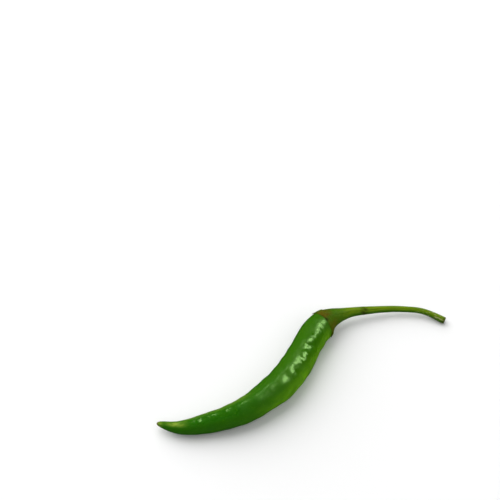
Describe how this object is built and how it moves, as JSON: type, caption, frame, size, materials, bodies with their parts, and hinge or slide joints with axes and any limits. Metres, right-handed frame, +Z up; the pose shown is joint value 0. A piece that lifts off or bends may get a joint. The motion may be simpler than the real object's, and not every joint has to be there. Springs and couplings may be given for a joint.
{
  "type": "thai chilli pepper",
  "caption": "Slender, gently S-curved green chilli pod with a glossy skin, capped by a five-pointed calyx that narrows into a long thin curved stalk, lying on its side.",
  "frame": {"origin": "on the surface the chilli lies on, under the middle of its bounding box", "axes": "+X along the chilli's longest extent, from the pod's tip towards the stalk's cut end; +Z up, away from the surface; +Y towards the side the stalk lies on"},
  "size_m": [0.0858, 0.044, 0.0093],
  "materials": {
    "pod_skin": "smooth waxy fruit skin, glossy, mid to deep green",
    "stalk": "satin ribbed green stalk with brown blush, dried tooth tips and a dry brown cut end"
  },
  "bodies": {
    "root": {"pod": "pod_skin", "stem_and_calyx": "stalk"}
  },
  "joints": []
}
